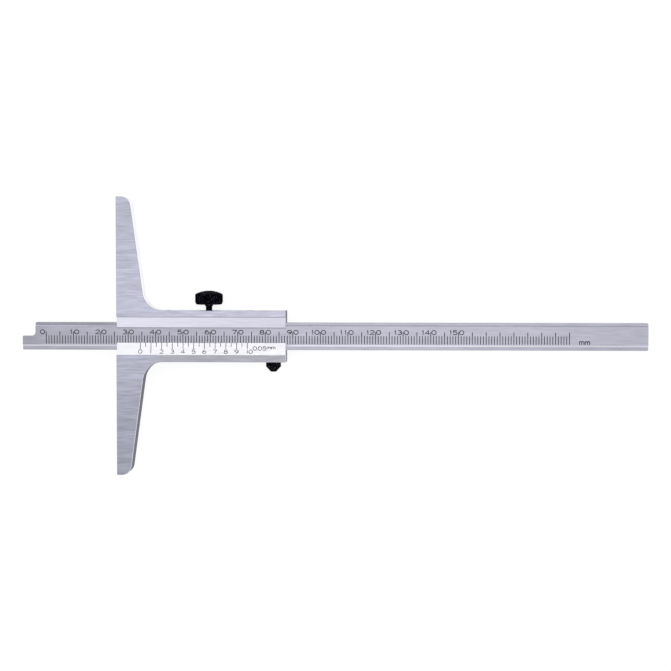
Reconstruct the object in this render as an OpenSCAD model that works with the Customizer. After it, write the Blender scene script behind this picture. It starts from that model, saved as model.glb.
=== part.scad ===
// Vernier depth gauge, reading to 150 mm by twentieths of a millimetre.
// The gauge lies on its back. X runs along the beam from the measuring face, Y along the
// measuring face, and Z out of the scale face. The origin is on the measuring face, at the
// middle of the beam's width, level with the back.

/* [Base] */
// Length of the measuring face, tip to tip
base_len = 101.4; // [92:0.1:130]
// Thickness of the base and slider, back to front
body_t = 8.4; // [8:0.1:10]
// Width of an arm where it meets the slider's edge
arm_root_w = 10.5; // [9:0.1:13]
// Width of an arm at its tip
arm_tip_w = 4.85; // [4.5:0.05:7]
// Radius of the fillet between an arm and the slider
root_r = 7.3; // [4:0.1:10]
// Radius of the rounded corner of an arm's tip
tip_r = 3.6; // [2:0.1:4]
// Width of the chamfer round the base and slider
edge_c = 0.15; // [0.1:0.05:0.4]

/* [Slider] */
// Length of the slider, from the measuring face to its far end
slider_len = 61.7; // [60:0.1:75]
// Width of the slider, edge to edge
slider_w = 18.8; // [18:0.1:24]
// Depth of the beam's scale face below the front of the slider
face_drop = 1.3; // [1:0.05:1.6]

/* [Beam] */
// Length of the beam
beam_len = 227; // [222:1:240]
// Width of the beam
beam_w = 10; // [9.5:0.1:10.5]
// Thickness of the beam
beam_t = 3.5; // [3.2:0.1:4]
// Length of the narrow nose
nose_len = 4.7; // [3:0.1:7]
// Width of the narrow nose
nose_w = 5; // [4:0.1:6]
// Radius where the nose meets the full width
nose_r = 1.5; // [0.5:0.1:2]
// Width of the ledge along the vernier side
ledge_w = 1.3; // [1:0.05:1.5]
// Width of the slope above the ledge
ledge_slope_w = 0.55; // [0.3:0.05:0.7]
// Depth of the ledge
ledge_drop = 0.5; // [0.4:0.05:1.1]
// Width of the rabbet along the other side
rabbet_w = 1; // [0.8:0.05:1.3]
// Width of the slope beside the rabbet
rabbet_slope_w = 0.3; // [0.2:0.05:0.5]
// Depth of the rabbet
rabbet_drop = 0.4; // [0.2:0.05:0.6]

/* [Scale] */
// Longest depth that the beam reads
read_max = 150; // [100:10:150]
// Depth that the beam stands at
reading = 34.5; // [0:0.05:100]
// Last graduation engraved on the beam
scale_end = 190; // [150:10:200]
// Distance from the beam's tip to its zero line
scale_zero = 8.65; // [8:0.05:12]
// Distance between two lines of the beam's scale
scale_step = 1; // [1:1:1]
// Distance from the beam's centre line to the foot of its graduations
scale_foot = 2.8; // [2.5:0.05:3]
// Length of a millimetre line
scale_short = 3; // [2:0.1:4]
// Length of every fifth line
scale_long = 4.4; // [3.5:0.1:5]
// Width of an engraved line
line_w = 0.2; // [0.1:0.01:0.25]
// Depth of an engraved line
line_depth = 0.08; // [0.05:0.01:0.15]

/* [Vernier] */
// Number of vernier divisions
vernier_count = 20; // [10:10:20]
// Distance between two vernier lines
vernier_step = 1.95; // [1.9:0.05:1.95]
// Length of a short vernier line
vernier_short = 1.4; // [1:0.1:1.8]
// Length of a long vernier line
vernier_long = 2.3; // [1.9:0.1:2.8]

/* [Strips] */
// Distance from the centre line to the outer edge of the vernier strip
vernier_out = 6.8; // [6.6:0.05:7.4]
// Distance from the centre line to the vernier edge
vernier_in = 2.43; // [2.2:0.01:2.6]
// Distance from the centre line to the outer edge of the cover strip
cover_out = 7.05; // [6.8:0.05:7.6]
// Distance from the centre line to the inner edge of the cover strip
cover_in = 3; // [2.7:0.01:3.3]
// Height of a strip's thin edge above the beam
lip_t = 0.28; // [0.15:0.01:0.4]
// Distance that a strip lies below the front of the slider
strip_step = 0.1; // [0.05:0.01:0.2]
// Distance that a strip stops short of each end of the slider
strip_short = 0.15; // [0.1:0.05:1]
// Diameter of the pins that hold the strips
pin_d = 1.2; // [0.8:0.05:1.3]
// Depth of a pin in its strip
pin_bite = 0.9; // [0.5:0.05:1.1]

/* [Lock screw] */
// Distance from the measuring face to the lock screw
lock_x = 33.5; // [32:0.1:36]
// Diameter of the lock screw's stud
stud_d = 2.5; // [2:0.1:2.6]
// Length that the stud shows between the slider and the knob
stud_show = 1.5; // [1:0.1:3]
// Pitch of the stud's thread
stud_pitch = 0.45; // [0.4:0.05:0.5]
// Diameter of the knob over its knurl
knob_d = 10.2; // [8:0.1:10.2]
// Height of the knob's rim
knob_rim = 3.75; // [3:0.05:5]
// Height of the knob's domed top
knob_dome = 1.3; // [0.8:0.05:2]
// Radius of the knob's lower corner
knob_r = 0.6; // [0.3:0.05:1]
// Height of the collar under the knob
collar_h = 0.58; // [0.3:0.01:1]
// Diameter of the collar under the knob
collar_d = 2.9; // [2.8:0.1:5]
// Depth of the stud in the knob
knob_bite = 3.2; // [2:0.1:3.6]
// Thickness of the pressure pad
pad_t = 1.2; // [0.8:0.1:2]

/* [Leaf spring] */
// Distance from the leaf spring's middle to each end
leaf_half = 20; // [16:0.5:20]
// Thickness of the leaf spring
leaf_t = 0.25; // [0.15:0.01:0.3]
// Width of the leaf spring
leaf_w = 2.6; // [2:0.1:2.8]
// Height of the leaf spring's bow
leaf_bow = 0.55; // [0.3:0.01:0.6]
// Distance from the leaf spring's middle to each tension screw
tension_half = 15; // [12:0.5:16]
// Diameter of a tension screw
tension_d = 2; // [1.6:0.1:2.2]
// Depth of a tension screw's head below the slider's edge
tension_sink = 0.3; // [0.2:0.05:1]
// Width of a tension screw's slot
slot_w = 0.4; // [0.3:0.05:0.5]
// Depth of a tension screw's slot
slot_depth = 0.6; // [0.4:0.05:0.8]

/* [Stop screw] */
// Distance from the slider's far end to the stop screw
stop_inset = 4.7; // [4:0.1:8]
// Diameter of the stop screw's thread
stop_d = 2.5; // [2:0.1:2.6]
// Diameter of the stop screw's head
stop_head_d = 5.45; // [4.5:0.05:6.5]
// Height of the straight part of the head
stop_head_h = 1.65; // [1:0.05:2.5]
// Height of the tapered part of the head
stop_taper_h = 1.85; // [1:0.05:3]
// Diameter of the head's flat end
stop_flat_d = 2; // [1.5:0.05:3]
// Diameter of the guide tip
tip_d = 1.2; // [0.8:0.05:1.6]
// Depth of the guide tip in the beam's groove
tip_bite = 0.5; // [0.3:0.05:0.8]

/* [Hidden] */
$fn = 64;

// Overrun of every cut past the face that it opens
over = 1;
// Clearance between sliding faces, on each side
slide_gap = 0.05;
// Clearance between faces that touch without moving
touch_gap = 0.02;
// Clearance round a turning thread, on the radius
thread_gap = 0.05;
// Clearance round a pressed pin, on the radius
press_gap = 0.005;
// Distance that the lock screw closes before it clamps, half a turn
lock_free = stud_pitch / 2 + touch_gap;
// Clearance between the guide tip and each end of its groove
groove_end = 0.3;
// Clearance between the guide tip and the groove's sides and floor
groove_gap = 0.1;
// Distance from the pins' centres to the slider's ends
pin_inset = 5;
// Distance from the vernier strip's far pin to the stop screw
pin_stop = 7;
// Distance between the leaf spring's end and its pocket's end
leaf_end_gap = 0.5;
// Distance between the leaf spring's end and its pocket's wall
leaf_back_gap = 0.12;
// Width of the chamfer round a corner of the body
corner_c = edge_c - 0.02;
// Angle that a fillet's chamfer runs on past the fillet
corner_over = 4;
// Radius on the corners of the beam's ends
beam_end_r = 0.4;
// Height of the chamfer on the end of a screw
screw_chamfer = 0.3;

steel = [0.72, 0.73, 0.79];
bright_steel = [0.9, 0.9, 0.95];
pin_steel = [0.6, 0.61, 0.64];
bronze = [0.72, 0.52, 0.3];
brass = [0.8, 0.67, 0.36];
black = [0.05, 0.045, 0.07];

// Heights above the back
beam_top = body_t - face_drop;
beam_low = beam_top - beam_t;
channel_floor = beam_low - slide_gap;
vernier_seat = beam_top - ledge_drop + slide_gap;
cover_seat = beam_top - rabbet_drop + slide_gap;
lock_z = (beam_low + beam_top - rabbet_drop) / 2;
stop_z = (beam_low + beam_top - ledge_drop) / 2;

// Distance from the measuring face to the stop screw
stop_x = slider_len - stop_inset;

// Distances from the centre line
slider_edge = slider_w / 2;
beam_edge = beam_w / 2;
channel_edge = beam_edge + slide_gap;
tip_y = base_len / 2;
leaf_y = beam_edge + touch_gap;
pocket_edge = leaf_y + leaf_t + leaf_bow + leaf_back_gap;
pad_y = leaf_y + leaf_t + lock_free;
stud_y = pad_y + pad_t + touch_gap;
collar_y = slider_edge + stud_show;
knob_y = collar_y + collar_h;
vernier_pin_y = (channel_edge + vernier_out) / 2;
cover_pin_y = (channel_edge + cover_out) / 2;

arm_angle = atan((arm_root_w - arm_tip_w) / (tip_y - slider_edge));
leaf_r = (leaf_half * leaf_half + leaf_bow * leaf_bow) / (2 * leaf_bow);

// Distance from the measuring face to an arm's back edge at height y
function arm_back(y) = arm_root_w - (y - slider_edge) * tan(arm_angle);
// Direction that an arm's back edge faces
back_dir = [cos(arm_angle), sin(arm_angle)];
// Centre of a tip's rounded corner, and of the fillet at an arm's root
round_c = [arm_back(tip_y - tip_r) - tip_r / cos(arm_angle), tip_y - tip_r];
fillet_c = [arm_back(slider_edge + root_r) + root_r / cos(arm_angle), slider_edge + root_r];

// Rise of the leaf spring's bow at a distance from its middle
function leaf_rise(d) = leaf_r - sqrt(leaf_r * leaf_r - d * d);

// A cylinder that starts at y and runs along +Y
module rod(x, y, z, d, h, d2 = undef) {
    translate([x, y, z]) rotate([-90, 0, 0]) cylinder(d1 = d, d2 = is_undef(d2) ? d : d2, h = h);
}

// One arm's outline, above the slider's edge
module arm_outline() {
    difference() {
        polygon([[0, 0], [arm_root_w, 0], [arm_root_w, slider_edge], [arm_tip_w, tip_y], [0, tip_y]]);
        difference() {
            polygon([
                round_c, round_c + (tip_r + over) * back_dir, [arm_tip_w + over, tip_y + over],
                [round_c.x, tip_y + over]
            ]);
            translate(round_c) circle(r = tip_r);
        }
    }
    difference() {
        polygon([[0, 0], [fillet_c.x, 0], fillet_c, fillet_c - root_r * back_dir, [0, slider_edge]]);
        translate(fillet_c) circle(r = root_r);
    }
}

// The outline of the base and slider, seen from the front
module body_outline() {
    translate([0, -slider_edge]) square([slider_len, slider_w]);
    arm_outline();
    mirror([0, 1]) arm_outline();
}

// The section that a chamfer removes: outward to +X and up to +Y, with the edge at the origin
module chamfer_section(c) {
    polygon([[-c - over, over], [over, -c - over], [over, over]]);
}

// Chamfers a straight front edge of a given length, with the material on its left
module chamfer_line(start, heading, length) {
    translate([start.x, start.y, body_t]) rotate([90, 0, heading + 90]) linear_extrude(length)
        mirror([1, 0]) chamfer_section(edge_c);
}

// Chamfers the front edges of one half of the body. The chamfers of the corners are a hair narrower
// than the straight ones, so that each ends inside its neighbour.
module half_chamfer() {
    start = fillet_c - root_r * back_dir;
    end = round_c + tip_r * back_dir;
    chamfer_line([slider_len + over, slider_edge], 180, slider_len + over - fillet_c.x);
    chamfer_line(start, 90 + arm_angle, norm(end - start) + over);
    chamfer_line([round_c.x + over, tip_y], 180, round_c.x + 2 * over);
    translate([round_c.x, round_c.y, body_t]) rotate(arm_angle)
        rotate_extrude(angle = 90 - arm_angle) translate([tip_r, 0]) chamfer_section(corner_c);
    translate([fillet_c.x, fillet_c.y, body_t]) rotate(180 + arm_angle - corner_over)
        rotate_extrude(angle = 90 - arm_angle + 2 * corner_over) translate([root_r, 0])
            mirror([1, 0]) chamfer_section(corner_c);
}

// Chamfers the edges of the front
module front_chamfer() {
    half_chamfer();
    mirror([0, 1, 0]) half_chamfer();
    chamfer_line([slider_len, -slider_edge - over], 90, slider_w + 2 * over);
}

// The channel, the strips' seats and the leaf spring's pocket, open to the front
module body_channel() {
    long = slider_len + 2 * over;
    translate([-over, -channel_edge, channel_floor]) cube([long, 2 * channel_edge, body_t]);
    translate([-over, -vernier_out, vernier_seat]) cube([long, vernier_out, body_t]);
    translate([-over, 0, cover_seat]) cube([long, cover_out, body_t]);
    translate([lock_x - leaf_half - leaf_end_gap, 0, channel_floor])
        cube([2 * (leaf_half + leaf_end_gap), pocket_edge, body_t]);
}

// The places of the four strip pins
module at_pins() {
    for (x = [pin_inset, stop_x - pin_stop]) translate([x, -vernier_pin_y, 0]) children();
    for (x = [pin_inset, slider_len - pin_inset]) translate([x, cover_pin_y, 0]) children();
}

module slider_body() {
    color(steel) difference() {
        linear_extrude(body_t) body_outline();
        front_chamfer();
        translate([0, 0, body_t]) mirror([0, 0, 1]) front_chamfer();
        body_channel();
        translate([0, 0, -over]) at_pins() cylinder(r = pin_d / 2 + press_gap, h = body_t);
        rod(lock_x, beam_edge, lock_z, stud_d + 2 * thread_gap, slider_w);
        for (side = [-1, 1])
            rod(lock_x + side * tension_half, beam_edge, lock_z, tension_d + 2 * press_gap, slider_w);
        rod(stop_x, -slider_w, stop_z, stop_d + 2 * thread_gap, slider_w - beam_edge);
    }
}

// A strip's section, given as distances outward from the centre line and heights
module strip_section(inner, outer, seat, slope_in, slope_out) {
    polygon([
        [inner, beam_top + slide_gap], [slope_in + slide_gap, beam_top + slide_gap],
        [slope_out + slide_gap, seat], [outer - touch_gap, seat],
        [outer - touch_gap, body_t - strip_step], [inner, beam_top + slide_gap + lip_t]
    ]);
}

// Runs a section, drawn in Y and Z, from one end of the strips to the other
module strip_run() {
    translate([strip_short, 0, 0]) rotate([90, 0, 90]) linear_extrude(slider_len - 2 * strip_short) children();
}

// The vernier's lines, laid along the slope of the strip
module vernier_lines() {
    low = beam_top + slide_gap + lip_t;
    rise = body_t - strip_step - low;
    slope = atan(rise / (vernier_out - touch_gap - vernier_in));
    translate([scale_zero, -vernier_in, low]) rotate([-slope, 0, 0]) translate([0, 0, -line_depth])
        linear_extrude(over) for (i = [0:vernier_count]) {
            length = i % 2 == 0 ? vernier_long : vernier_short;
            translate([i * vernier_step - line_w / 2, -length]) square([line_w, length + over]);
        }
}

module vernier_strip() {
    slope_out = beam_edge - ledge_w;
    color(bright_steel) difference() {
        mirror([0, 1, 0]) strip_run()
            strip_section(vernier_in, vernier_out, vernier_seat, slope_out - ledge_slope_w, slope_out);
        vernier_lines();
        at_pins() cylinder(r = pin_d / 2 + press_gap, h = vernier_seat + pin_bite + touch_gap);
    }
}

module cover_strip() {
    slope_out = beam_edge - rabbet_w;
    color(bright_steel) difference() {
        strip_run() strip_section(cover_in, cover_out, cover_seat, slope_out - rabbet_slope_w, slope_out);
        at_pins() cylinder(r = pin_d / 2 + press_gap, h = cover_seat + pin_bite + touch_gap);
    }
}

module strip_pins() {
    color(pin_steel) {
        for (x = [pin_inset, stop_x - pin_stop])
            translate([x, -vernier_pin_y, 0]) cylinder(d = pin_d, h = vernier_seat + pin_bite);
        for (x = [pin_inset, slider_len - pin_inset])
            translate([x, cover_pin_y, 0]) cylinder(d = pin_d, h = cover_seat + pin_bite);
    }
}

module leaf_spring() {
    color(bronze) translate([lock_x, leaf_y, lock_z - leaf_w / 2]) linear_extrude(leaf_w) intersection() {
        translate([0, leaf_r]) difference() {
            circle(r = leaf_r, $fn = 720);
            circle(r = leaf_r - leaf_t, $fn = 720);
        }
        translate([-leaf_half, -over]) square([2 * leaf_half, leaf_bow + leaf_t + 2 * over]);
    }
}

module tension_screws() {
    foot = leaf_y + leaf_t + leaf_rise(tension_half + tension_d / 2) + touch_gap;
    head = slider_edge - tension_sink;
    color(pin_steel) for (side = [-1, 1]) difference() {
        rod(lock_x + side * tension_half, foot, lock_z, tension_d, head - foot);
        translate([lock_x + side * tension_half - tension_d, head - slot_depth, lock_z - slot_w / 2])
            cube([2 * tension_d, slot_depth + over, slot_w]);
    }
}

// The beam's section, drawn in Y and Z from its back
module beam_section() {
    ledge_in = beam_edge - ledge_w;
    rabbet_in = beam_edge - rabbet_w;
    polygon([
        [-beam_edge, 0], [beam_edge, 0], [beam_edge, beam_t - rabbet_drop], [rabbet_in, beam_t - rabbet_drop],
        [rabbet_in - rabbet_slope_w, beam_t], [ledge_slope_w - ledge_in, beam_t],
        [-ledge_in, beam_t - ledge_drop], [-beam_edge, beam_t - ledge_drop]
    ]);
}

// A square corner to cut away, rounded to radius r, with the material towards +X and +Y
module corner_cut(r) {
    translate([0, 0, -over]) linear_extrude(beam_t + 2 * over) difference() {
        translate([-over, -over]) square(r + over);
        translate([r, r]) circle(r = r);
    }
}

// The space beside the nose, with its inner corner rounded
module nose_cut() {
    low = nose_w - beam_edge;
    translate([0, 0, -over]) linear_extrude(beam_t + 2 * over) {
        translate([-over, low]) square([nose_len + over - nose_r, beam_w]);
        translate([-over, low + nose_r]) square([nose_len + over, beam_w]);
        translate([nose_len - nose_r, low + nose_r]) circle(r = nose_r);
    }
}

// The beam's scale, a line every millimetre and a longer one every five
module scale_lines() {
    lines = floor((scale_end + touch_gap) / scale_step);
    translate([scale_zero, -scale_foot, beam_t - line_depth]) linear_extrude(over)
        for (i = [0:lines]) {
            length = i % 5 == 0 ? scale_long : scale_short;
            translate([i * scale_step - line_w / 2, 0]) square([line_w, length]);
        }
}

// The groove that the stop screw's tip runs in, along the beam's vernier edge
module stop_groove() {
    reach = tip_d / 2 + groove_end;
    wide = tip_d + 2 * groove_gap;
    deep = tip_bite + groove_gap;
    translate([stop_x - reach, -beam_edge - over, stop_z - beam_low - wide / 2])
        cube([read_max + 2 * reach, deep + over, wide]);
}

module beam() {
    color(steel) translate([-reading, 0, beam_low]) difference() {
        rotate([90, 0, 90]) linear_extrude(beam_len) beam_section();
        nose_cut();
        translate([nose_len, beam_edge, 0]) mirror([0, 1, 0]) corner_cut(beam_end_r);
        translate([beam_len, beam_edge, 0]) mirror([1, 0, 0]) mirror([0, 1, 0]) corner_cut(beam_end_r);
        translate([beam_len, -beam_edge, 0]) mirror([1, 0, 0]) corner_cut(beam_end_r);
        scale_lines();
        stop_groove();
    }
}

module lock_pad() {
    color(brass) rod(lock_x, pad_y, lock_z, stud_d, pad_t);
}

module lock_stud() {
    length = knob_y + knob_bite - stud_y;
    color(black) {
        rod(lock_x, stud_y, lock_z, stud_d - 2 * screw_chamfer, screw_chamfer, stud_d);
        rod(lock_x, stud_y + screw_chamfer, lock_z, stud_d, length - screw_chamfer);
    }
}

// Half of the knob's section, drawn from its axis and its lower face
module knob_section() {
    half = knob_d / 2;
    dome_r = (half * half + knob_dome * knob_dome) / (2 * knob_dome);
    intersection() {
        union() {
            square([half - knob_r, knob_rim + knob_dome]);
            translate([0, knob_r]) square([half, knob_rim + knob_dome - knob_r]);
            translate([half - knob_r, knob_r]) circle(r = knob_r);
        }
        translate([0, knob_rim + knob_dome - dome_r]) circle(r = dome_r, $fn = 180);
        square([half, knob_rim + knob_dome]);
    }
}

module lock_knob() {
    color(black) difference() {
        union() {
            rod(lock_x, collar_y, lock_z, stud_d + 2 * thread_gap, collar_h, collar_d);
            translate([lock_x, knob_y, lock_z]) rotate([-90, 0, 0]) rotate_extrude($fn = 720) knob_section();
        }
        rod(lock_x, collar_y - over, lock_z, stud_d + 2 * press_gap, over + collar_h + knob_bite + touch_gap);
    }
}

module stop_screw() {
    head = -slider_edge - touch_gap;
    shoulder = -channel_edge - touch_gap;
    color(black) {
        rod(stop_x, head, stop_z, stop_d, shoulder - head);
        rod(stop_x, shoulder - touch_gap, stop_z, tip_d, tip_bite + touch_gap - shoulder - beam_edge);
        rod(stop_x, head - stop_head_h, stop_z, stop_head_d, stop_head_h);
        rod(stop_x, head - stop_head_h - stop_taper_h, stop_z, stop_flat_d, stop_taper_h, stop_head_d);
    }
}

slider_body();
vernier_strip();
cover_strip();
strip_pins();
leaf_spring();
tension_screws();
beam();
lock_pad();
lock_stud();
lock_knob();
stop_screw();
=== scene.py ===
# %% [markdown]
# # A vernier depth gauge
#
# The gauge lies on its back on a pale table. A T-shaped base carries a slider, a long steel beam
# runs through it under two bright strips, and a black knurled screw locks it. Its solids come ready
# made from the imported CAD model, in metres and in their real places. This lesson adds what CAD
# leaves out: ground steel, dark scale lines and numbers, the knurl, the thread, the light and the
# camera.

import math

import bpy
from mathutils import Euler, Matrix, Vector


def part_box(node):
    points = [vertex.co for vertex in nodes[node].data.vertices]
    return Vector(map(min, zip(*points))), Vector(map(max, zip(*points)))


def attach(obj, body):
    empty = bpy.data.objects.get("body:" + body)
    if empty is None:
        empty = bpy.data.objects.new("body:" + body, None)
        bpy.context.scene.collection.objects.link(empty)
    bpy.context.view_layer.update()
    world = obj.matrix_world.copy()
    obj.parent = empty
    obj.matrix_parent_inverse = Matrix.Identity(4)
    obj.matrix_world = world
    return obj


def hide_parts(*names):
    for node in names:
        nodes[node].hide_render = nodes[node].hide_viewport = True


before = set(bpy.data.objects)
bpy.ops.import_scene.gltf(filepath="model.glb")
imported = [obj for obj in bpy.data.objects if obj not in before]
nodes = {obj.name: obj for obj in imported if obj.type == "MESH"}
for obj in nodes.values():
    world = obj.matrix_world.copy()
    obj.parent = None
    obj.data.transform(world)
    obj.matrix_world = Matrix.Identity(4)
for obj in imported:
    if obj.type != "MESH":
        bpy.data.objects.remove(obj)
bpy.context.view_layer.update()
MM = 0.001
print("CAD pieces:", sorted(nodes))

# %% [markdown]
# ## The camera
#
# The photograph looks almost straight down, from a long way off, so the beam shows no perspective
# to speak of and the side walls are thin bands. A long lens does that. The camera stands above the
# middle of the picture, 0.7 m up, and leans by 2 or 3 degrees, which is why one side of each arm
# shows. The small shift stands for the photograph's crop.

# %% Place the camera
CAMERA_PLACE = (105.78 * MM, 35.5 * MM, 700 * MM)
CAMERA_LEAN = (-0.0519, 0.0377, 0.0004)
SENSOR = 36
LENS = 102.77
CROP_SHIFT = 0.0037
camera_data = bpy.data.cameras.new("camera")
camera_data.sensor_width = SENSOR
camera_data.lens = LENS
camera_data.shift_y = CROP_SHIFT
camera = bpy.data.objects.new("camera", camera_data)
camera.location = CAMERA_PLACE
camera.rotation_euler = Euler(CAMERA_LEAN)
bpy.context.scene.collection.objects.link(camera)
bpy.context.scene.camera = camera
print("camera's height in m:", round(camera.location.z, 3))

# %% [markdown]
# ## Table and light
#
# The photograph is a catalogue picture: white behind, hardly a shadow, broad soft light from above.
# Steel is a mirror that has been scratched, so it shows what stands round it. The surround is white
# at the horizon and a little greyer overhead, most of all on the side of the nose, which gives the
# flat faces their soft gradient. One large soft lamp on the side of the lock screw is brighter
# still: the vernier strip leans towards it and turns white, and the upper arm gets more of it than
# the lower arm. The table is white to the camera but keeps a trace of the gauge's shadow.

# %% Helpers for shader nodes
def set_inputs(node, values):
    """Sets a node's inputs by name, with _ for a space."""
    for name, value in values.items():
        node.inputs[name.replace("_", " ")].default_value = value


def add_node(tree, kind, **values):
    """Adds a shader node, and sets its inputs by name."""
    node = tree.nodes.new(kind)
    set_inputs(node, values)
    return node


def calculate(tree, operation, *values, clamp=False):
    """A Math node on sockets and plain numbers."""
    node = add_node(tree, "ShaderNodeMath")
    node.operation = operation
    node.use_clamp = clamp
    for socket, value in zip(node.inputs, values):
        if isinstance(value, (int, float)):
            socket.default_value = value
        else:
            tree.links.new(value, socket)
    return node.outputs[0]


def directions(tree, output):
    """X, Y and Z of one of the Texture Coordinate node's outputs."""
    place = add_node(tree, "ShaderNodeTexCoord")
    split = add_node(tree, "ShaderNodeSeparateXYZ")
    tree.links.new(place.outputs[output], split.inputs[0])
    return split.outputs


def background_rays(tree):
    """1 where the camera, a reflection or clear matter looks, and 0 for other light."""
    path = add_node(tree, "ShaderNodeLightPath").outputs
    seen = calculate(tree, "MAXIMUM", path["Is Camera Ray"], path["Is Glossy Ray"])
    return calculate(tree, "MAXIMUM", seen, path["Is Transmission Ray"])


# %% Surround
WHITE = (1, 1, 1, 1)
SURROUND = 0.85
OVERHEAD_GREY = 0.1
GREY_ALONG_X = -0.7
GREY_ALONG_Y = -0.3
OVERHEAD_FOCUS = 4.0
world = bpy.data.worlds.new("surround")
bpy.context.scene.world = world
world.use_nodes = True
tree = world.node_tree
tree.nodes.clear()
lighting = add_node(tree, "ShaderNodeBackground", Color=WHITE, Strength=SURROUND)
seen = add_node(tree, "ShaderNodeBackground", Color=WHITE)
mix = add_node(tree, "ShaderNodeMixShader")
out = add_node(tree, "ShaderNodeOutputWorld")
x, y, z = directions(tree, "Generated")
slant = calculate(tree, "MULTIPLY_ADD", y, GREY_ALONG_Y, OVERHEAD_GREY)
slant = calculate(tree, "MULTIPLY_ADD", x, GREY_ALONG_X, slant)
overhead = calculate(tree, "POWER", calculate(tree, "MAXIMUM", z, 0.0), OVERHEAD_FOCUS)
grey = calculate(tree, "MULTIPLY", slant, overhead)
tree.links.new(calculate(tree, "SUBTRACT", 1.0, grey, clamp=True), seen.inputs["Strength"])
tree.links.new(background_rays(tree), mix.inputs["Fac"])
tree.links.new(lighting.outputs[0], mix.inputs[1])
tree.links.new(seen.outputs[0], mix.inputs[2])
tree.links.new(mix.outputs[0], out.inputs["Surface"])
print("surround:", SURROUND, "of white")

# %% Soft lamp
LAMP_SIZE = 0.25
LAMP_RADIANCE = 2.3
LAMP_PLACE = (0.075, 0.24, 0.62)
LAMP_AIM = (0.08, 0, 0)
lamp_data = bpy.data.lights.new("soft_lamp", "AREA")
lamp_data.size = LAMP_SIZE
lamp_data.energy = LAMP_RADIANCE * math.pi * LAMP_SIZE**2
lamp = bpy.data.objects.new("soft_lamp", lamp_data)
lamp.location = LAMP_PLACE
lamp.rotation_euler = (Vector(LAMP_AIM) - lamp.location).to_track_quat("-Z", "Y").to_euler()
bpy.context.scene.collection.objects.link(lamp)
print("lamp in W:", round(lamp_data.energy, 3))

# %% Table
TABLE_HALF = 3
TABLE_COLOUR = (0.2, 0.2, 0.2, 1)
TABLE_GLOW = 0.87
corners = [(TABLE_HALF * x, TABLE_HALF * y, 0) for x, y in ((-1, -1), (1, -1), (1, 1), (-1, 1))]
table_mesh = bpy.data.meshes.new("table")
table_mesh.from_pydata(corners, [], [(0, 1, 2, 3)])
table = bpy.data.objects.new("table", table_mesh)
table_white = bpy.data.materials.new("table_white")
table_white.use_nodes = True
tree = table_white.node_tree
tree.nodes.clear()
board = add_node(tree, "ShaderNodeBsdfDiffuse", Color=TABLE_COLOUR)
glow = add_node(tree, "ShaderNodeEmission", Color=WHITE)
both = add_node(tree, "ShaderNodeAddShader")
out = add_node(tree, "ShaderNodeOutputMaterial")
strength = calculate(tree, "MULTIPLY", background_rays(tree), TABLE_GLOW)
tree.links.new(strength, glow.inputs["Strength"])
tree.links.new(board.outputs[0], both.inputs[0])
tree.links.new(glow.outputs[0], both.inputs[1])
tree.links.new(both.outputs[0], out.inputs["Surface"])
table_mesh.materials.append(table_white)
bpy.context.scene.collection.objects.link(table)
print("table:", 2 * TABLE_HALF, "m across")

# %% [markdown]
# ## Ground steel
#
# The body and the beam are stainless steel, ground in one direction, along the beam. A grinding
# belt leaves scratches finer than a pixel, and over them longer, softer streaks where it pressed
# harder. A photograph wrapped round the body would show them too, but it would also show its own
# light. Noise that is stretched along the beam costs nothing and has no seam. On the faces that
# look along the beam, such as the measuring face, it is stretched across instead, the way the
# belt ran there. Fine noise tips the surface a little, and coarse noise varies the colour and the
# gloss.

# %% Mixing and ramps
def mixed(tree, share, first, second):
    """Between two colours or two numbers, plain or sockets, by a share from 0 to 1."""
    mix = add_node(tree, "ShaderNodeMix")
    kinds = [getattr(value, "type", type(value)) for value in (first, second)]
    colours = any(kind in ("RGBA", "VECTOR", tuple) for kind in kinds)
    mix.data_type = "RGBA" if colours else "FLOAT"
    tree.links.new(share, mix.inputs["Factor"])
    # The node's inputs 2 and 3 are for numbers, and 6 and 7 for colours.
    for socket, value in zip(mix.inputs[6:8] if colours else mix.inputs[2:4], (first, second)):
        if isinstance(value, bpy.types.NodeSocket):
            tree.links.new(value, socket)
        else:
            socket.default_value = value
    return mix.outputs[2 if colours else 0]


def shaded(tree, value, dark, light):
    """A colour between dark and light, by a value from 0 to 1."""
    return mixed(tree, value, (*dark, 1), (*light, 1))


def spread(tree, value, low, high, reach=0.2):
    """Maps the noise's middle range, which reaches this far from a half, onto low to high."""
    ramp = add_node(tree, "ShaderNodeMapRange", From_Min=0.5 - reach, From_Max=0.5 + reach)
    set_inputs(ramp, {"To_Min": low, "To_Max": high})
    tree.links.new(value, ramp.inputs["Value"])
    return ramp.outputs[0]


def step_up(tree, value, start, full):
    """0 at start and before it, 1 from full on, and smooth between them."""
    ramp = add_node(tree, "ShaderNodeMapRange", From_Min=start, From_Max=full)
    ramp.interpolation_type = "SMOOTHSTEP"
    tree.links.new(value, ramp.inputs["Value"])
    return ramp.outputs[0]


# %% Streaks
END_FACE = (0.7, 0.72)
NOISE_ROUGHNESS = 0.55


def streaks(tree, along, across, detail=2.0):
    """Noise drawn out along the beam, or across it on end faces. Sizes are in metres."""
    place = add_node(tree, "ShaderNodeTexCoord")
    stretched = []
    for scale in ((1 / along, 1 / across, 1 / across), (1 / across, 1 / along, 1 / across)):
        stretch = add_node(tree, "ShaderNodeMapping", Scale=scale)
        tree.links.new(place.outputs["Object"], stretch.inputs["Vector"])
        stretched.append(stretch.outputs[0])
    turned = step_up(tree, calculate(tree, "ABSOLUTE", directions(tree, "Normal")[0]), *END_FACE)
    noise = add_node(tree, "ShaderNodeTexNoise", Scale=1, Detail=detail, Roughness=NOISE_ROUGHNESS)
    tree.links.new(mixed(tree, turned, *stretched), noise.inputs["Vector"])
    return noise.outputs["Fac"]


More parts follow.
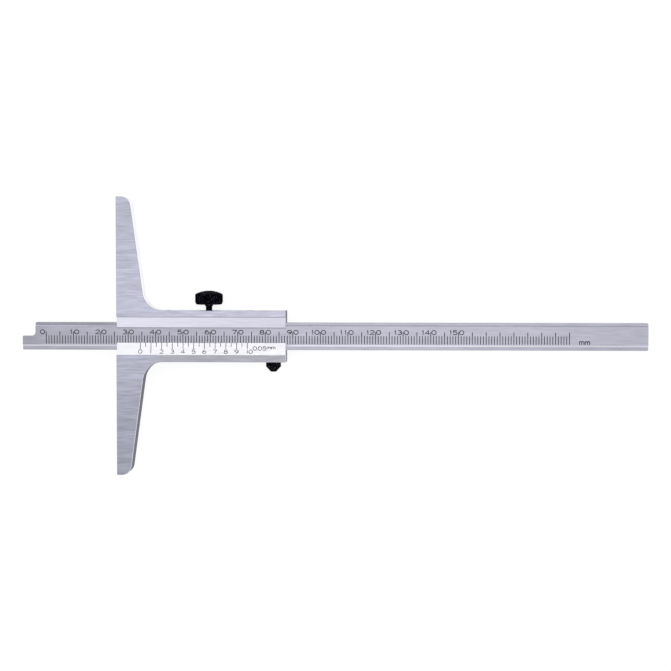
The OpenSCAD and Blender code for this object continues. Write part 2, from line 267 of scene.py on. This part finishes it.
# %% Steel from the belt
COARSE_STREAK = (12 * MM, 1.5 * MM)
FINE_STREAK = (6 * MM, 0.5 * MM)
GLOSS_STREAK = (5 * MM, 0.35 * MM)
SCRATCH = (12 * MM, 0.12 * MM)
FINE_SHARE = 0.55
BELT_REACH = 0.16
GLOSS_SPREAD = 0.04
SCRATCH_STRENGTH = 0.6


def new_material(name, **values):
    """A material, its node tree, and its main shader with the inputs set by name."""
    material = bpy.data.materials.new(name)
    material.use_nodes = True
    surface = material.node_tree.nodes["Principled BSDF"]
    set_inputs(surface, values)
    return material, material.node_tree, surface


def ground_steel(name, colour, painted_shading, roughness, contrast, scratch):
    """Ground steel: contrast is the spread of its colour, scratch the depth in metres."""
    material, tree, surface = new_material(name, Metallic=1)
    coarse = calculate(tree, "MULTIPLY", streaks(tree, *COARSE_STREAK, detail=3), 1 - FINE_SHARE)
    belt = calculate(tree, "MULTIPLY_ADD", streaks(tree, *FINE_STREAK), FINE_SHARE, coarse)
    dark, light = [[c * (1 + side * contrast) for c in colour] for side in (-1, 1)]
    tint = shaded(tree, spread(tree, belt, 0, 1, BELT_REACH), dark, light)
    grain = streaks(tree, *GLOSS_STREAK)
    gloss = spread(tree, grain, roughness - GLOSS_SPREAD, roughness + GLOSS_SPREAD)
    # Light and shade painted into the colour and gloss, by place and by the way a face looks.
    tint, gloss = painted_shading(tree, tint, gloss)
    tree.links.new(tint, surface.inputs["Base Color"])
    tree.links.new(gloss, surface.inputs["Roughness"])
    bump = add_node(tree, "ShaderNodeBump", Strength=SCRATCH_STRENGTH, Distance=scratch)
    tree.links.new(streaks(tree, *SCRATCH), bump.inputs["Height"])
    tree.links.new(bump.outputs[0], surface.inputs["Normal"])
    return material


# %% [markdown]
# ## Painted light and shade
#
# Light and shade are painted into the colour of some faces, and each face takes its own. The slope
# beside the beam's ledge gets a painted highlight. The body's walls are glossy and painted lit on
# the lock screw's side, and rough and painted shaded on the vernier's side and at the slider's end.
# The front is painted darker towards the tips of the arms and lighter on the lock screw's side, and
# the beam lighter and darker along its length. The cover strip has painted dark lines of shade
# along its long edges. A face is told by the direction it looks in, from -1 to 1 along each axis,
# and by its place, so no mesh has to be cut up to give it its painted light and shade.

# %% Painted light and shade by place
def levelled(tree, tint, start, *steps):
    """Scales a colour: start, and what each step adds while its value rises from low to high."""
    level = start
    for value, low, high, amount in steps:
        level = calculate(tree, "MULTIPLY_ADD", step_up(tree, value, low, high), amount, level)
    scale = add_node(tree, "ShaderNodeVectorMath")
    scale.operation = "SCALE"
    if isinstance(tint, tuple):
        scale.inputs[0].default_value = tint
    else:
        tree.links.new(tint, scale.inputs[0])
    tree.links.new(level, scale.inputs["Scale"])
    return scale.outputs[0]


def faded(tree, tint, x, start, *steps):
    """levelled() along the beam, with each step as from where, to where in mm, and how much."""
    places = [(x, low * MM, high * MM, amount) for low, high, amount in steps]
    return levelled(tree, tint, start, *places)


def between(tree, value, low, high, blur):
    """1 where a value lies between low and high, and 0 elsewhere."""
    ends = step_up(tree, value, high, high + blur)
    return calculate(tree, "SUBTRACT", step_up(tree, value, low - blur, low), ends)


# %% Painted light and shade on the beam
# Painted light and shade: the level near the nose, and its steps along the beam: from, to in
# millimetres, and how much.
SCALE_FACE = (0.88, (-33, -24, 0.15), (-10, 60, 0.06), (130, 185, -0.09))
RABBET_SLOPE = (1.5, (-10, 20, -0.47), (120, 175, -0.08))
RABBET_FLOOR = (0.79, (-10, 20, 0.23), (120, 175, -0.03))
LEDGE = (1.03, (110, 175, -0.11))
LEDGE_RIM = (0.6, (-10, 30, 0.4))
SLOPE_HIGHLIGHT_FADE = (0.82, (-10, 60, 0.18), (110, 175, -0.2))
# Where each band starts and is full, in millimetres from the beam's centre line.
BANDS = (
    (3.65, 3.7, RABBET_SLOPE),
    (3.95, 4.0, RABBET_FLOOR),
    (-3.6, -3.7, LEDGE),
    (-4.7, -4.75, LEDGE_RIM),
)
# A painted highlight on the slope beside the ledge, in place of a reflection.
SLOPE_HIGHLIGHT = (0.88, 0.88, 0.97)
# How far the slope's face looks up and aside: from, to, and the blur at both ends.
SLOPE_UP = (0.5, 0.85, 0.1)
SLOPE_ASIDE = (-1.0, -0.4, 0.2)


def beam_passes(tree, tint, gloss):
    """Paints a highlight on the slope beside the ledge, and light and shade on each band, which
    fade along the beam in their own ways.
    """
    x, y, z = directions(tree, "Object")
    finish = faded(tree, tint, x, *SCALE_FACE)
    for start, full, steps in BANDS:
        share = step_up(tree, y, start * MM, full * MM)
        finish = mixed(tree, share, finish, faded(tree, tint, x, *steps))
    slope_highlight = faded(tree, SLOPE_HIGHLIGHT, x, *SLOPE_HIGHLIGHT_FADE)
    x, y, z = directions(tree, "Normal")
    aside = between(tree, y, *SLOPE_ASIDE)
    slope = calculate(tree, "MULTIPLY", between(tree, z, *SLOPE_UP), aside)
    return mixed(tree, slope, finish, slope_highlight), gloss


# %% Front of the body
# Painted light and shade on the front: darker towards the arms' tips, lighter on the lock screw's
# side, and greyer and darker on the rail on the vernier's side.
HALF_BEAM = 5 * MM
FRONT_LEVEL = 1.07
TIP_REACH = 50 * MM
TIP_PAINTED_SHADE = -0.22
UPPER_PAINTED_LIGHT = 0.13
RAIL_START = (10 * MM, 20 * MM)
RAIL_PAINTED_SHADE = -0.08
RAIL_GREY = (0.45, 0.45, 0.4, 1)
RAIL_SHARE = 0.33


def body_front(tree, tint, x, y, lower):
    """Paints shade on the front towards the arms' tips and greys and darkens the rail on the
    vernier's side, and paints light on the lock screw's side.
    """
    rail = calculate(tree, "MULTIPLY", step_up(tree, x, *RAIL_START), lower)
    tint = mixed(tree, calculate(tree, "MULTIPLY", rail, RAIL_SHARE), tint, RAIL_GREY)
    to_tip = (calculate(tree, "ABSOLUTE", y), 0.0, TIP_REACH, TIP_PAINTED_SHADE)
    to_upper = (y, -HALF_BEAM, HALF_BEAM, UPPER_PAINTED_LIGHT)
    return levelled(tree, tint, FRONT_LEVEL, to_tip, to_upper, (rail, 0.0, 1.0, RAIL_PAINTED_SHADE))


# %% Walls of the body
# Painted colours of the walls and corners: lit on the lock screw's side and at the arms' backs,
# shaded on the vernier's side and at the slider's end, a painted highlight on the lower back corner
# and painted shade on the other corners.
PAINTED_LIT_WALL = (0.7, 0.703, 0.76, 1)
PAINTED_LIT_BACK = (0.81, 0.812, 0.86, 1)
PAINTED_SHADED_WALL = (0.19, 0.19, 0.22, 1)
PAINTED_SHADED_END = (0.3, 0.3, 0.34, 1)
PAINTED_SHADED_CORNER = (0.4, 0.4, 0.47, 1)
PAINTED_CORNER_HIGHLIGHT = (0.78, 0.78, 0.85, 1)
LIGHT_ROUGHNESS = 0.14
BACK_ROUGHNESS = 0.04
DULL_ROUGHNESS = 0.8
WALL_STREAK = (8 * MM, 0.4 * MM)
WALL_LEVEL = 0.87
WALL_BELT = (0.35, 0.65, 0.26)
SLIDER_END = (61 * MM, 61.5 * MM)
# How far a face looks along an axis where its painted light and shade and its gloss start, and
# where they are full.
UPRIGHT = (0.3, 0.1)
NOT_MEASURING_FACE = (-0.9, -0.6)
LIGHT_SIDE = (0.02, 0.12)
ARM_BACK = (0.7, 0.9)
CORNER_BACK = (0.4, 0.6)
# How far a bevelled corner looks up: from, to, and the blur at both ends.
CORNER = (0.5, 0.85, 0.1)


def body_passes(tree, tint, gloss):
    """Paints the walls lit and makes them glossy on one side, paints them shaded and makes them
    rough on the other, and paints a highlight and shade on the corners.
    """
    x, y, z = directions(tree, "Object")
    lower = step_up(tree, y, HALF_BEAM, -HALF_BEAM)
    low_end = calculate(tree, "MULTIPLY", step_up(tree, x, *SLIDER_END), lower)
    front = body_front(tree, tint, x, y, lower)

    x, y, z = directions(tree, "Normal")
    light, arm_back = step_up(tree, y, *LIGHT_SIDE), step_up(tree, x, *ARM_BACK)
    shaded_walls = mixed(tree, low_end, PAINTED_SHADED_WALL, PAINTED_SHADED_END)
    sides = mixed(tree, light, shaded_walls, mixed(tree, arm_back, PAINTED_LIT_WALL, PAINTED_LIT_BACK))
    sides = levelled(tree, sides, WALL_LEVEL, (streaks(tree, *WALL_STREAK), *WALL_BELT))
    polish = mixed(tree, arm_back, LIGHT_ROUGHNESS, BACK_ROUGHNESS)
    side_gloss = mixed(tree, light, DULL_ROUGHNESS, polish)

    steep = calculate(tree, "ABSOLUTE", z)
    low_back = calculate(tree, "MULTIPLY", step_up(tree, x, *CORNER_BACK), lower)
    corner = mixed(tree, low_back, PAINTED_SHADED_CORNER, PAINTED_CORNER_HIGHLIGHT)
    front = mixed(tree, between(tree, steep, *CORNER), front, corner)
    not_face = step_up(tree, x, *NOT_MEASURING_FACE)
    wall = calculate(tree, "MULTIPLY", step_up(tree, steep, *UPRIGHT), not_face)
    return mixed(tree, wall, front, sides), mixed(tree, wall, gloss, side_gloss)


# %% Painted light and shade on the strips
COVER_PAINTED_LIGHT = (1.12, (0, 60, -0.14))
VERNIER_PAINTED_SHADE = (1.03, (0, 60, -0.15))
EDGE_LINE = 0.12 * MM
EDGE_BLUR = 0.08 * MM
# Painted shade: dark lines along the cover strip's long edges.
INNER_EDGE_SHADE = (0.1, 0.1, 0.12, 1)
OUTER_EDGE_SHADE = (0.3, 0.3, 0.35, 1)
cover_low, cover_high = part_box("cover_strip")


def cover_passes(tree, tint, gloss):
    """Painted light makes the cover strip brightest at the measuring face, and painted shade draws
    dark lines along its long edges.
    """
    x, y, z = directions(tree, "Object")
    tint = faded(tree, tint, x, *COVER_PAINTED_LIGHT)
    inner, outer = cover_low.y + EDGE_LINE, cover_high.y - EDGE_LINE
    tint = mixed(tree, step_up(tree, y, inner, inner + EDGE_BLUR), INNER_EDGE_SHADE, tint)
    return mixed(tree, step_up(tree, y, outer - EDGE_BLUR, outer), tint, OUTER_EDGE_SHADE), gloss


def vernier_passes(tree, tint, gloss):
    """Painted shade darkens the vernier strip a little towards the slider's end."""
    return faded(tree, tint, directions(tree, "Object")[0], *VERNIER_PAINTED_SHADE), gloss


# %% Finish the four ground pieces
def give(node, material):
    """Puts a finish on a CAD piece."""
    for place in nodes[node].material_slots:
        place.material = material
    print(node, "is", material.name)


# Piece, finish, colour, painted light and shade, roughness, spread of the colour, and depth of a
# scratch in mm.
GROUND = (
    ("slider_body", "ground_body", (0.482, 0.487, 0.59), body_passes, 0.36, 0.18, 0.01),
    ("beam", "ground_beam", (0.478, 0.475, 0.56), beam_passes, 0.34, 0.09, 0.008),
    ("vernier_strip", "satin_vernier", (0.71, 0.71, 0.75), vernier_passes, 0.42, 0.03, 0.004),
    ("cover_strip", "satin_cover", (0.78, 0.777, 0.89), cover_passes, 0.42, 0.05, 0.004),
)
for node, name, colour, painted_shading, roughness, contrast, scratch in GROUND:
    give(node, ground_steel(name, colour, painted_shading, roughness, contrast, scratch * MM))

# %% [markdown]
# ## Turned steel, bronze and brass
#
# The small pieces inside are turned or rolled: four pins, two slotted screws, a leaf spring and the
# lock's pressure pad. They hardly show, but the screws' slots do from the side, and the pins' ends
# from below. Turning leaves rings rather than streaks, and at this size plain fine noise in the
# gloss says enough.

# %% Small metal pieces
GRAIN = 0.3 * MM
GLOSS_GRAIN = 0.15 * MM
DARKEST = 0.85
TURNED_SPREAD = 0.06


def small_metal(name, colour, roughness):
    """A small turned or rolled piece, with a little variation in its colour and gloss."""
    material, tree, surface = new_material(name, Metallic=1)
    grain = spread(tree, streaks(tree, GRAIN, GRAIN, detail=3), 0, 1)
    tint = shaded(tree, grain, [c * DARKEST for c in colour], colour)
    tree.links.new(tint, surface.inputs["Base Color"])
    grain = streaks(tree, GLOSS_GRAIN, GLOSS_GRAIN)
    gloss = spread(tree, grain, roughness - TURNED_SPREAD, roughness + TURNED_SPREAD)
    tree.links.new(gloss, surface.inputs["Roughness"])
    return material


turned = small_metal("turned_steel", (0.45, 0.46, 0.5), roughness=0.32)
give("strip_pins", turned)
give("tension_screws", turned)
give("leaf_spring", small_metal("rolled_bronze", (0.6, 0.38, 0.2), roughness=0.3))
give("lock_pad", small_metal("turned_brass", (0.75, 0.56, 0.24), roughness=0.3))

# %% [markdown]
# ## Black screws
#
# The stop screw and the lock screw's stud are blackened steel and the knob is a black moulding, all
# nearly without shine. Black is never zero: a base colour of a tenth of a per cent and a soft gloss
# keep a trace of light on the dome. Pale flecks, which a coarser noise sets, are painted glints.

# %% Black finishes
GLINT_SIZE = 0.45 * MM
GLINT_COLOUR = (0.06, 0.053, 0.085, 1)
GLINT_EDGE = (0.56, 0.68)
DARK_SHARE = 0.6
BLACK_IOR = 1.25
BLACK_SPREAD = 0.08
GRAIN_DEPTH = 0.01 * MM
GRAIN_STRENGTH = 0.4


def black_finish(name, colour, roughness, shine, grain_size):
    """A black surface with a fine grain in its gloss, a slight bump, and pale flecks of painted
    glint.
    """
    material, tree, surface = new_material(name, Specular_IOR_Level=shine, IOR=BLACK_IOR)
    grain = streaks(tree, grain_size, grain_size, detail=3)
    black = shaded(tree, spread(tree, grain, 0, 1), [c * DARK_SHARE for c in colour], colour)
    # Painted glints: pale flecks where a coarse noise is high.
    glint = step_up(tree, streaks(tree, GLINT_SIZE, GLINT_SIZE), *GLINT_EDGE)
    tree.links.new(mixed(tree, glint, black, GLINT_COLOUR), surface.inputs["Base Color"])
    gloss = spread(tree, grain, roughness - BLACK_SPREAD, roughness + BLACK_SPREAD)
    tree.links.new(gloss, surface.inputs["Roughness"])
    bump = add_node(tree, "ShaderNodeBump", Strength=GRAIN_STRENGTH, Distance=GRAIN_DEPTH)
    tree.links.new(grain, bump.inputs["Height"])
    tree.links.new(bump.outputs[0], surface.inputs["Normal"])
    return material


blackened = black_finish(
    "blackened_steel", (0.001, 0.001, 0.0012), roughness=0.45, shine=0.02, grain_size=0.12 * MM
)
moulded = black_finish(
    "moulded_black", (0.001, 0.0008, 0.0022), roughness=0.6, shine=0.03, grain_size=0.2 * MM
)
give("stop_screw", blackened)

# %% [markdown]
# ## Paint in the scale lines
#
# The lines are cut 0.08 mm into the steel and filled with dark paint. The CAD beam has the cuts, so
# each gets a strip of paint that lies a little over the brim and runs over its edges, as ink does.
# One loop lays all 191 of them in a single mesh, and another the 21 of the vernier. On a used gauge
# the paint is worn unevenly, so its darkness varies from line to line.

# %% Helpers for flat paint
WEAR = 0.8 * MM


def paint(name, dark, light):
    """Dark paint that is worn unevenly."""
    material, tree, surface = new_material(name, Roughness=0.5, Specular_IOR_Level=0.1)
    worn = spread(tree, streaks(tree, WEAR, WEAR, detail=3), 0, 1)
    tree.links.new(shaded(tree, worn, dark, light), surface.inputs["Base Color"])
    return material


def make_piece(name, points, faces, material, body):
    """A mesh object that rides on one of the gauge's bodies."""
    mesh = bpy.data.meshes.new(name)
    mesh.from_pydata(points, [], faces)
    mesh.materials.append(material)
    mesh.update()
    piece = bpy.data.objects.new(name, mesh)
    bpy.context.scene.collection.objects.link(piece)
    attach(piece, body)
    print(name, len(mesh.vertices), "points")
    return piece


def lay_bars(place, bars):
    """Flat bars, each given as left, right, foot and head, on the surface that place describes."""
    points, faces = [], []
    for left, right, foot, head in bars:
        start = len(points)
        points += [place(left, foot), place(right, foot), place(right, head), place(left, head)]
        faces.append((start, start + 1, start + 2, start + 3))
    return points, faces


# %% Lines of the beam
LINE_W = 0.27 * MM
PAINT_RISE = 0.006 * MM
SCALE_ZERO = 8.65 * MM
SCALE_FOOT = -2.8 * MM
SCALE_LINES = 191
LONG_LINE = 4.4 * MM
SHORT_LINE = 3.0 * MM
beam_low, beam_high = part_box("beam")
zero_x = beam_low.x + SCALE_ZERO


def on_beam(x, y):
    """A point just over the scale face, x from the zero line and y from the beam's centre line."""
    return (zero_x + x, y, beam_high.z + PAINT_RISE)


bars = []
for i in range(SCALE_LINES):
    length = LONG_LINE if i % 5 == 0 else SHORT_LINE
    bars.append((i * MM - LINE_W / 2, i * MM + LINE_W / 2, SCALE_FOOT, SCALE_FOOT + length))
scale_paint = paint("scale_paint", (0.001, 0.001, 0.003), (0.012, 0.01, 0.02))
points, faces = lay_bars(on_beam, bars)
make_piece("beam_lines", points, faces, scale_paint, "beam")

# %% Lines of the vernier
VERNIER_ZERO = 8.65 * MM
VERNIER_STEP = 1.95 * MM
VERNIER_LINES = 21
VERNIER_LINE_W = 0.8 * LINE_W
VERNIER_LONG = 2.3 * MM
VERNIER_SHORT = 1.4 * MM
NEAR_EDGE = 0.01 * MM
strip_low, strip_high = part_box("vernier_strip")
inner_y = strip_high.y
strip_points = [v.co for v in nodes["vernier_strip"].data.vertices]
edge_z = max(co.z for co in strip_points if co.y > inner_y - NEAR_EDGE)
slope = math.atan2(strip_high.z - edge_z, inner_y - strip_low.y)
print("vernier's slope in degrees:", round(math.degrees(slope), 1))


def on_vernier(x, y):
    """A point just over the slope, x from the measuring face and y from the strip's thin edge."""
    level_y = inner_y + y * math.cos(slope) + PAINT_RISE * math.sin(slope)
    return (x, level_y, edge_z - y * math.sin(slope) + PAINT_RISE * math.cos(slope))


bars = []
for i in range(VERNIER_LINES):
    x = VERNIER_ZERO + i * VERNIER_STEP
    length = VERNIER_LONG if i % 2 == 0 else VERNIER_SHORT
    bars.append((x - VERNIER_LINE_W / 2, x + VERNIER_LINE_W / 2, -length, 0))
vernier_paint = paint("vernier_paint", (0.003, 0.003, 0.005), (0.03, 0.03, 0.04))
points, faces = lay_bars(on_vernier, bars)
make_piece("vernier_lines", points, faces, vernier_paint, "slider")

# %% [markdown]
# ## Numbers
#
# A pantograph engraver cuts numbers with one round tool, so every stroke is equally wide. A text
# object would need a typeface, whose strokes swell and taper. Here each figure is a few lines and
# arcs in a box one wide and one high, and a ribbon of constant width follows them.

# %% Figures as strokes
def arc(x, y, rx, ry, start, end, steps=14):
    """Points on an ellipse round x, y from one angle to another, in degrees."""
    turns = [math.radians(start + (end - start) * k / steps) for k in range(steps + 1)]
    return [(x + rx * math.cos(t), y + ry * math.sin(t)) for t in turns]


HOOK = arc(0.83, 0.3, 0.81, 0.7, 180, 108)
FIGURES = {
    "0": [arc(0.5, 0.5, 0.5, 0.5, 0, 360, 28)],
    "1": [[(0.28, 0.76), (0.5, 1), (0.5, 0)]],
    "|": [[(0.5, 1), (0.5, 0)]],
    "2": [arc(0.5, 0.72, 0.44, 0.28, 165, -40) + [(0, 0), (1, 0)]],
    "3": [arc(0.47, 0.77, 0.4, 0.23, 150, -90) + arc(0.47, 0.27, 0.47, 0.27, 90, -150)],
    "4": [[(0.72, 0), (0.72, 1), (0, 0.28), (1, 0.28)]],
    "5": [[(0.9, 1), (0.18, 1), (0.12, 0.57)] + arc(0.47, 0.33, 0.48, 0.33, 130, -150)],
    "6": [HOOK, arc(0.5, 0.3, 0.48, 0.3, 0, 360, 24)],
    "7": [[(0, 1), (1, 1), (0.35, 0)]],
    "8": [arc(0.5, 0.77, 0.38, 0.23, 0, 360, 20), arc(0.5, 0.27, 0.47, 0.27, 0, 360, 24)],
    "9": [[(1 - x, 1 - y) for x, y in HOOK], arc(0.5, 0.7, 0.48, 0.3, 0, 360, 24)],
    ".": [[(0.42, 0.03), (0.58, 0.03)]],
    "m": [
        [(0, 0), (0, 0.62)],
        arc(0.25, 0.37, 0.25, 0.25, 180, 0) + [(0.5, 0)],
        arc(0.75, 0.37, 0.25, 0.25, 180, 0) + [(1, 0)],
    ],
}
print("figures:", " ".join(FIGURES))

# %% Ribbons along the strokes
SHARPEST_CORNER = 0.5
SAME_POINT = 1e-9


def ribbon(line, width, start):
    """A flat ribbon along a line: its points, and faces that count from start."""
    closed = math.dist(line[0], line[-1]) < SAME_POINT
    path = [Vector(p) for p in (line[:-1] if closed else line)]
    count = len(path)
    points, faces = [], []
    for k, here in enumerate(path):
        before = path[k - 1] if k or closed else here
        after = path[(k + 1) % count] if k + 1 < count or closed else here
        first = (here - before).normalized() if before != here else (after - here).normalized()
        second = (after - here).normalized() if after != here else first
        side = Vector((-(first + second).y, (first + second).x)).normalized()
        reach = width / 2 / max(SHARPEST_CORNER, side.dot(Vector((-first.y, first.x))))
        points += [here + side * reach, here - side * reach]
    for k in range(count if closed else count - 1):
        a, b = 2 * k, 2 * ((k + 1) % count)
        faces.append((start + a + 1, start + b + 1, start + b, start + a))
    return points, faces


def write(place, words, width, name, material, body):
    """Lays figures on a surface, each given as figure, centre x, foot y, width and height."""
    points, faces = [], []
    for figure, centre, foot, wide, high in words:
        for stroke in FIGURES[figure]:
            line = [(centre + (x - 0.5) * wide, foot + y * high) for x, y in stroke]
            more, quads = ribbon(line, width, len(points))
            points += more
            faces += quads
    points = [place(x, y) for x, y in points]
    return make_piece(name, points, faces, material, body)


# %% Numbers of the beam
FIGURE_STROKE = 0.28 * MM
# The box of a figure: its foot above the beam's centre line, its width and its height.
FIGURE_BOX = (0.75 * MM, 1.6 * MM, 1.47 * MM)
UNIT_BOX = (-2.85 * MM, 1.6 * MM, 2.0 * MM)
ZERO_PLACE = -1.35 * MM
AFTER_LINE = 1.15 * MM
BEFORE_LINE = -1.2 * MM
LEADING_ONE = -2.75 * MM
NARROW_ONE = 0.42 * MM
UNIT_PLACES = (194.4, 196.45)
LAST_NUMBER = 150

words = [("0", ZERO_PLACE, *FIGURE_BOX)]
for number in range(10, LAST_NUMBER + 1, 10):
    figures = str(number)
    places = [LEADING_ONE, BEFORE_LINE, AFTER_LINE][-len(figures):]
    # A 1 is narrow, so before the line it stands closer.
    closer = NARROW_ONE if figures[-2] == "1" else 0
    for figure, shift in zip(figures, places):
        nudge = closer if shift < 0 else 0
        words.append((figure, number * MM + shift + nudge, *FIGURE_BOX))
words += [("m", x * MM, *UNIT_BOX) for x in UNIT_PLACES]
number_paint = paint("number_paint", (0.001, 0.001, 0.002), (0.006, 0.006, 0.01))
write(on_beam, words, FIGURE_STROKE, "beam_numbers", number_paint, "beam")

# %% Numbers of the vernier
SMALL_STROKE = 0.22 * MM
SMALL_FOOT = -3.85 * MM
SMALL_W = 1.36 * MM
# Here the foot is measured from the strip's thin edge.
SMALL_BOX = (SMALL_FOOT, SMALL_W, 1.3 * MM)
LONG_ONE_BOX = (SMALL_FOOT, SMALL_W, -SMALL_FOOT - VERNIER_LONG)
AFTER_TEN = 1.25 * MM
READING_BOX = (-2.65 * MM, 1.3 * MM, 1.35 * MM)
READING = (("0", 50.4), (".", 51.35), ("0", 52.3), ("5", 53.9))
SMALL_UNIT_BOX = (-2.25 * MM, 1.35 * MM, 1.3 * MM)
SMALL_UNIT_PLACES = (55.5, 57.1)
LAST_SMALL_NUMBER = 10

words = []
for i in range(LAST_SMALL_NUMBER + 1):
    x = VERNIER_ZERO + 2 * i * VERNIER_STEP
    if i == 1:
        words.append(("|", x, *LONG_ONE_BOX))
    elif i == LAST_SMALL_NUMBER:
        words += [("|", x, *SMALL_BOX), ("0", x + AFTER_TEN, *SMALL_BOX)]
    else:
        words.append((str(i), x, *SMALL_BOX))
words += [(figure, x * MM, *READING_BOX) for figure, x in READING]
words += [("m", x * MM, *SMALL_UNIT_BOX) for x in SMALL_UNIT_PLACES]
write(on_vernier, words, SMALL_STROKE, "vernier_numbers", vernier_paint, "slider")

# %% [markdown]
# ## The lock screw's knob
#
# The knob is a black moulding with a domed top and a diamond knurl, like a tiny pine cone. Cutting
# the knurl out of a solid takes dozens of slanted grooves. The same surface is a net of points on
# a cylinder, in which every second point stands out: the raised points are the tips of the
# diamonds, the others are where two grooves cross, and each square is split along the groove.

# %% Rings round the screw's axis
knob_low, knob_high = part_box("lock_knob")
AXIS_X = (knob_low.x + knob_high.x) / 2
AXIS_Z = (knob_low.z + knob_high.z) / 2
print("screw's axis in mm:", round(AXIS_X / MM, 2), round(AXIS_Z / MM, 2))


def ring(radius, y, count, lift=None):
    """Points round the screw's axis at height y. lift, if given, adds to the radius by index."""
    points = []
    for i in range(count):
        turn = 2 * math.pi * i / count
        r = radius + (lift(i) if lift else 0)
        points.append((AXIS_X + r * math.sin(turn), y, AXIS_Z + r * math.cos(turn)))
    return points


def skin(count, rows, is_peak=None):
    """Faces between rings. Squares are split beside the points that is_peak says stand out."""
    faces = []
    for j in range(rows - 1):
        for i in range(count):
            a, b = j * count + i, j * count + (i + 1) % count
            d, c = a + count, b + count
            if is_peak and (is_peak(i, j) or is_peak(i + 1, j + 1)):
                faces += [(a, b, d), (b, c, d)]
            elif is_peak and (is_peak(i + 1, j) or is_peak(i, j + 1)):
                faces += [(a, b, c), (a, c, d)]
            else:
                faces.append((a, b, c, d))
    return faces


# %% Section of the knob
KNOB_R = (knob_high.x - knob_low.x) / 2
KNURL_DEPTH = 0.22 * MM
KNURL_ROWS = 8
STUD_R = 1.25 * MM
BORE_H = 3.8 * MM
COLLAR_H = 0.58 * MM
COLLAR_R = 1.45 * MM
COLLAR_FLARE = 0.15 * MM
CORNER_R = 0.6 * MM
CORNER_STEPS = 4
RIM_H = 3.75 * MM
DOME_H = 1.3 * MM
DOME_STEPS = 8
DOME_SHARE = 0.985

foot_y = knob_low.y + COLLAR_H
bore_y = knob_low.y + BORE_H
rim_foot, rim_top = foot_y + CORNER_R, foot_y + RIM_H
root_r = KNOB_R - KNURL_DEPTH
profile = [(0, bore_y), (STUD_R, bore_y), (STUD_R, knob_low.y), (COLLAR_R, knob_low.y)]
profile += [(COLLAR_R, foot_y - COLLAR_FLARE), (COLLAR_R + COLLAR_FLARE, foot_y)]
for k in range(CORNER_STEPS + 1):
    turn = math.pi / 2 * k / CORNER_STEPS
    r = root_r - CORNER_R + CORNER_R * math.sin(turn)
    profile.append((r, rim_foot - CORNER_R * math.cos(turn)))
knurl_start = len(profile) - 1
for k in range(1, KNURL_ROWS + 1):
    profile.append((root_r, rim_foot + (rim_top - rim_foot) * k / KNURL_ROWS))
knurl_end = len(profile) - 1
dome_r = (KNOB_R**2 + DOME_H**2) / (2 * DOME_H)
dome_y = rim_top + DOME_H - dome_r
for k in range(DOME_STEPS, -1, -1):
    r = KNOB_R * k / DOME_STEPS * DOME_SHARE
    profile.append((r, dome_y + math.sqrt(dome_r**2 - r**2)))
print("knob's section:", len(profile), "points")

# %% Knurled knob
DIAMONDS_ROUND = 42


def is_tip(i, j):
    """The points of the knurl's net that stand out."""
    return knurl_start < j < knurl_end and (i + j) % 2 == 0


count = 2 * DIAMONDS_ROUND
points = []
for j, (r, y) in enumerate(profile):
    points += ring(r, y, count, lambda i, j=j: KNURL_DEPTH if is_tip(i, j) else 0)
faces = skin(count, len(profile), is_tip)
knob = make_piece("knurled_knob", points, faces, moulded, "lock_screw")
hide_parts("lock_knob")

# %% [markdown]
# ## The lock screw's thread
#
# The stud is a cut thread of 0.45 mm pitch, which just shows between the slider and the knob. A
# thread is a groove that climbs one pitch in each turn, so a net of rings does it: the radius of a
# point depends on its height less its share of a turn. The CAD stud is a plain cylinder over the
# crests.

# %% Threaded stud
PITCH = 0.45 * MM
THREAD_DEPTH = 0.16 * MM
THREAD_FLANK = 2.6
ROOT_FLAT = 0.15
THREAD_PAST_KNOB = 0.1 * MM
ROWS_A_PITCH = 8
AROUND = 32
stud_low, stud_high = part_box("lock_stud")
stud_length = stud_high.y - stud_low.y
rows = int(stud_length / PITCH * ROWS_A_PITCH)
thread_top = knob_low.y + THREAD_PAST_KNOB


def crest(i, y):
    """How far the thread stands above its root, at a point round the stud and a height."""
    share = ((y - stud_low.y) / PITCH - i / AROUND) % 1
    return THREAD_DEPTH * max(0, min(1, THREAD_FLANK * abs(share - 0.5) - ROOT_FLAT))


points = [(AXIS_X, stud_low.y, AXIS_Z)] * AROUND
for k in range(rows + 1):
    y = stud_low.y + stud_length * k / rows
    if y < thread_top:
        points += ring(STUD_R - THREAD_DEPTH, y, AROUND, lambda i: crest(i, y))
    else:
        points += ring(STUD_R, y, AROUND)
points += [(AXIS_X, stud_high.y, AXIS_Z)] * AROUND
faces = skin(AROUND, rows + 3)
stud = make_piece("threaded_stud", points, faces, blackened, "lock_screw")
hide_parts("lock_stud")

# %% [markdown]
# ## Colour view
#
# The colour view is Standard, so that a colour renders as it is written.

# %% Finish
bpy.context.scene.view_settings.view_transform = "Standard"
